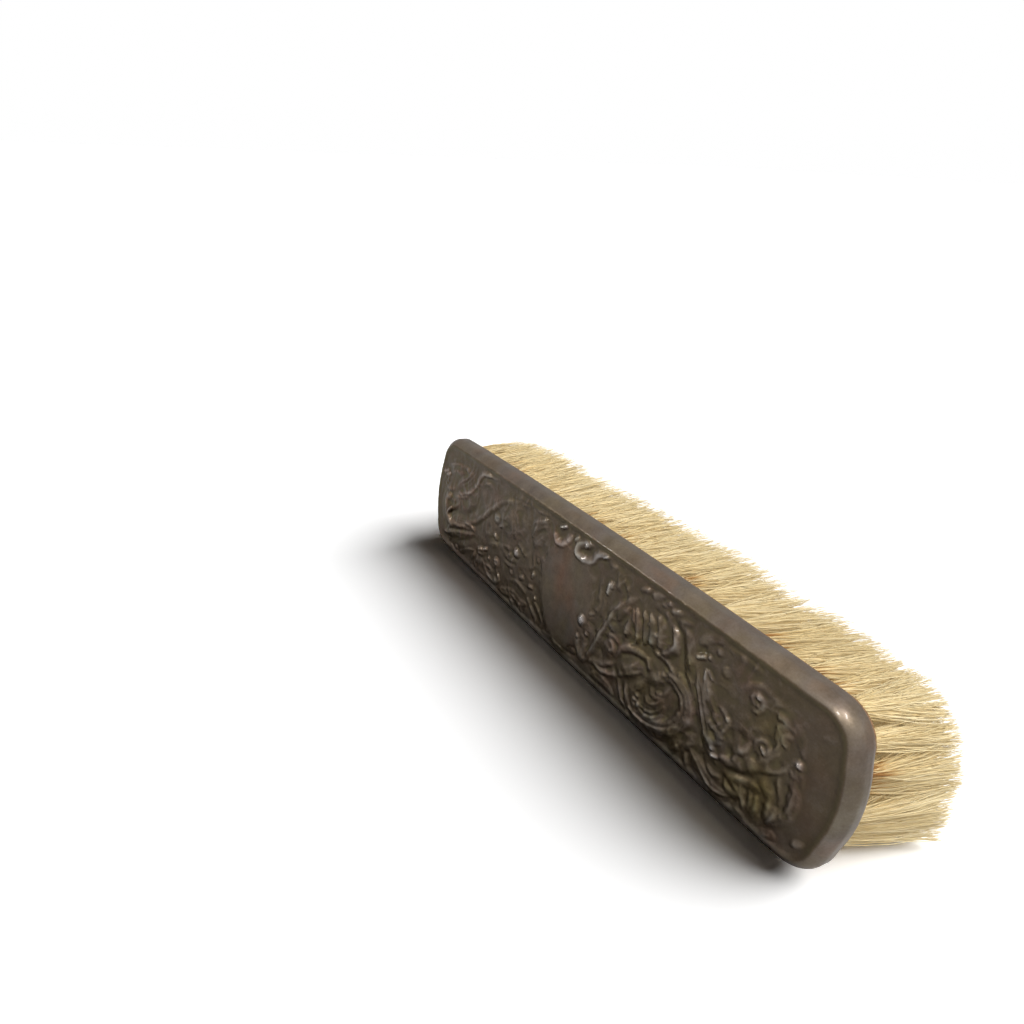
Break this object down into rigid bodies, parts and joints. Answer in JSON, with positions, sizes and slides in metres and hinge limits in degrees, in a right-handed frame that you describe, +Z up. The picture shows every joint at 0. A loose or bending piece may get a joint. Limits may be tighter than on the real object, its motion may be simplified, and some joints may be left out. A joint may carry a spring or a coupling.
{
  "type": "silver-backed vanity brush",
  "caption": "Handleless dressing-table brush: a long round-cornered embossed silver back on a drilled wooden stock, with pale bristle tufts drawn through it in rows, lying on its side.",
  "frame": {"origin": "centre of the footprint of the brush as it lies on one long side, at ground level", "axes": "+X along the brush's length, +Z up, and the silver face towards -Y, tilted up a little"},
  "size_m": [0.1756, 0.0386, 0.0415],
  "materials": {
    "silver": "satin",
    "pitch": "matte",
    "cover_wood": "matte",
    "stock_wood": "satin",
    "draw_wire": "satin",
    "bristle": "matte"
  },
  "bodies": {
    "root": {"silver_back": "silver", "pitch_bed": "pitch", "cover_board": "cover_wood", "bristle_stock": "stock_wood", "draw_wire_1": "draw_wire", "draw_wire_2": "draw_wire", "draw_wire_3": "draw_wire", "draw_wire_4": "draw_wire", "draw_wire_5": "draw_wire", "draw_wire_6": "draw_wire", "draw_wire_7": "draw_wire", "bristle_row_1": "bristle", "bristle_row_2": "bristle", "bristle_row_3": "bristle", "bristle_row_4": "bristle", "bristle_row_5": "bristle", "bristle_row_6": "bristle", "bristle_row_7": "bristle"}
  },
  "joints": []
}
